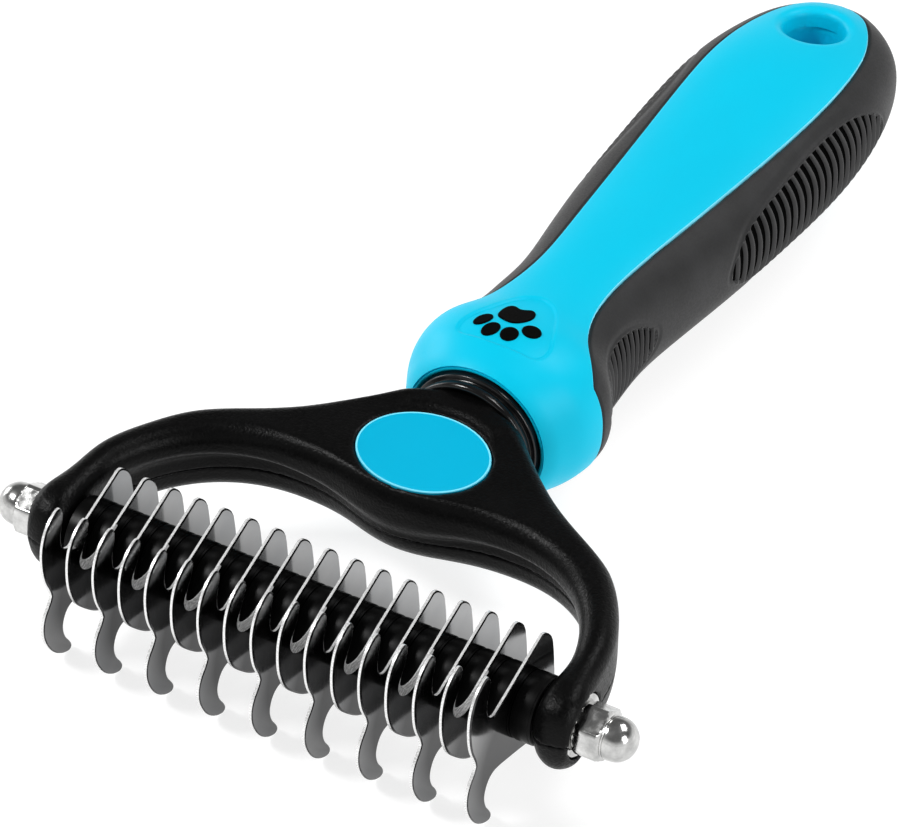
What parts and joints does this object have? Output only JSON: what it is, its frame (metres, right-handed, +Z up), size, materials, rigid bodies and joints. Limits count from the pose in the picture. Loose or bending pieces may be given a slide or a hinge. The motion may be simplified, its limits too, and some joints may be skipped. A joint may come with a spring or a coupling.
{
  "type": "pet deshedding comb",
  "caption": "Two-sided pet deshedding comb: hooked and toothed steel plates on an axle between the arms of a black yoke, with a cyan and black handle.",
  "frame": {"origin": "under the middle of the whole tool, on the plane of its lowest hooks", "axes": "+X along the axle rod, +Y from the plates to the end of the handle, +Z up from the hooks to the badge side"},
  "size_m": [0.1, 0.173, 0.0294],
  "materials": {
    "blade_steel": "satin, with ground bevels",
    "spacer_black": "matte",
    "zinc_steel": "bright zinc",
    "yoke_black": "fine grain",
    "gloss_black": "gloss",
    "badge_cyan": "satin",
    "handle_cyan": "satin",
    "grip_black": "soft matte"
  },
  "bodies": {
    "tool": {"hook_blade_1": "blade_steel", "hook_blade_2": "blade_steel", "hook_blade_3": "blade_steel", "hook_blade_4": "blade_steel", "hook_blade_5": "blade_steel", "hook_blade_6": "blade_steel", "hook_blade_7": "blade_steel", "hook_blade_8": "blade_steel", "hook_blade_9": "blade_steel", "comb_blade_1": "blade_steel", "comb_blade_2": "blade_steel", "comb_blade_3": "blade_steel", "comb_blade_4": "blade_steel", "comb_blade_5": "blade_steel", "comb_blade_6": "blade_steel", "comb_blade_7": "blade_steel", "comb_blade_8": "blade_steel", "spacer_01": "spacer_black", "spacer_02": "spacer_black", "spacer_03": "spacer_black", "spacer_04": "spacer_black", "spacer_05": "spacer_black", "spacer_06": "spacer_black", "spacer_07": "spacer_black", "spacer_08": "spacer_black", "spacer_09": "spacer_black", "spacer_10": "spacer_black", "spacer_11": "spacer_black", "spacer_12": "spacer_black", "spacer_13": "spacer_black", "spacer_14": "spacer_black", "spacer_15": "spacer_black", "spacer_16": "spacer_black", "end_spacer_left": "spacer_black", "end_spacer_right": "spacer_black", "axle_rod": "zinc_steel", "yoke_upper_shell": "yoke_black", "yoke_lower_shell": "yoke_black", "neck_ring": "gloss_black", "badge": "badge_cyan", "handle_core": "handle_cyan", "handle_grip": "grip_black", "paw_inlay": "gloss_black"},
    "nut_left": {"acorn_nut_left": "zinc_steel", "washer_left": "zinc_steel"},
    "nut_right": {"acorn_nut_right": "zinc_steel", "washer_right": "zinc_steel"}
  },
  "joints": [
    {"name": "nut_left_travel", "type": "slide", "parent": "tool", "child": "nut_left", "axis": [-1, 0, 0], "range_m": [0, 0.006]},
    {"name": "nut_right_travel", "type": "slide", "parent": "tool", "child": "nut_right", "axis": [1, 0, 0], "range_m": [0, 0.006]}
  ]
}
